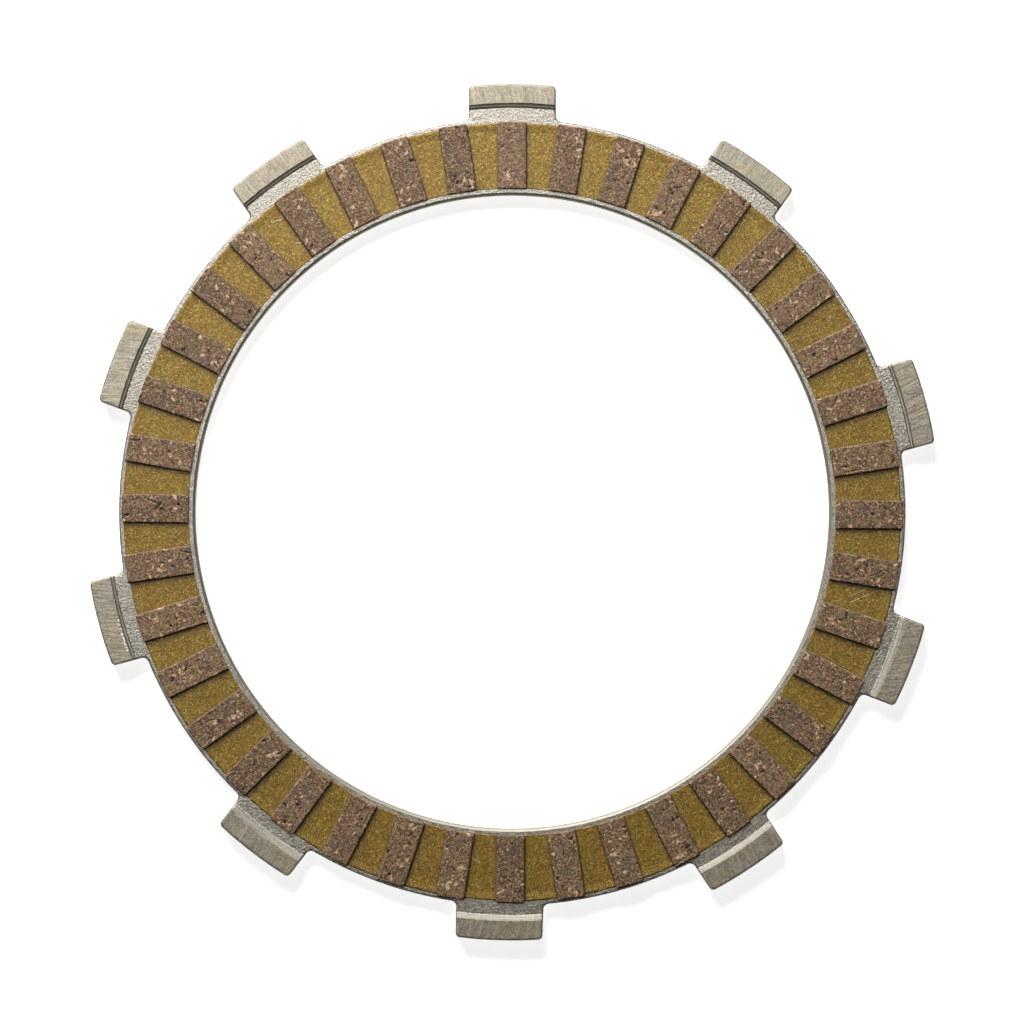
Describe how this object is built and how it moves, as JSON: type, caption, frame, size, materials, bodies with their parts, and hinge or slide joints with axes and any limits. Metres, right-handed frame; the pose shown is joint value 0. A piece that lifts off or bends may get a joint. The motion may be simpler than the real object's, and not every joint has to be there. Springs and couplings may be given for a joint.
{
  "type": "clutch disc",
  "caption": "Flat cast ring with drive tabs round its rim and friction pads bonded to both faces, for a wet multi-plate clutch.",
  "frame": {"origin": "on the bore's axis, halfway through the disc's thickness", "axes": "+Z along the bore's axis, out of the face that the picture shows; +Y from the axis to the middle of the first drive tab, which is at the top of the picture; +X to the picture's right"},
  "size_m": [0.1576, 0.16, 0.003],
  "materials": {
    "cast_aluminium": "satin",
    "bonding_resin": "satin",
    "friction_lining": "matte"
  },
  "bodies": {
    "root": {"core_plate": "cast_aluminium", "bond_coat_front": "bonding_resin", "bond_coat_back": "bonding_resin", "pad_front_01": "friction_lining", "pad_front_02": "friction_lining", "pad_front_03": "friction_lining", "pad_front_04": "friction_lining", "pad_front_05": "friction_lining", "pad_front_06": "friction_lining", "pad_front_07": "friction_lining", "pad_front_08": "friction_lining", "pad_front_09": "friction_lining", "pad_front_10": "friction_lining", "pad_front_11": "friction_lining", "pad_front_12": "friction_lining", "pad_front_13": "friction_lining", "pad_front_14": "friction_lining", "pad_front_15": "friction_lining", "pad_front_16": "friction_lining", "pad_front_17": "friction_lining", "pad_front_18": "friction_lining", "pad_front_19": "friction_lining", "pad_front_20": "friction_lining", "pad_front_21": "friction_lining", "pad_front_22": "friction_lining", "pad_front_23": "friction_lining", "pad_front_24": "friction_lining", "pad_front_25": "friction_lining", "pad_front_26": "friction_lining", "pad_front_27": "friction_lining", "pad_front_28": "friction_lining", "pad_front_29": "friction_lining", "pad_front_30": "friction_lining", "pad_front_31": "friction_lining", "pad_front_32": "friction_lining", "pad_front_33": "friction_lining", "pad_front_34": "friction_lining", "pad_front_35": "friction_lining", "pad_front_36": "friction_lining", "pad_front_37": "friction_lining", "pad_front_38": "friction_lining", "pad_front_39": "friction_lining", "pad_front_40": "friction_lining", "pads_back_01": "friction_lining", "pads_back_02": "friction_lining", "pads_back_03": "friction_lining", "pads_back_04": "friction_lining", "pads_back_05": "friction_lining", "pads_back_06": "friction_lining", "pads_back_07": "friction_lining", "pads_back_08": "friction_lining", "pads_back_09": "friction_lining", "pads_back_10": "friction_lining"}
  },
  "joints": []
}
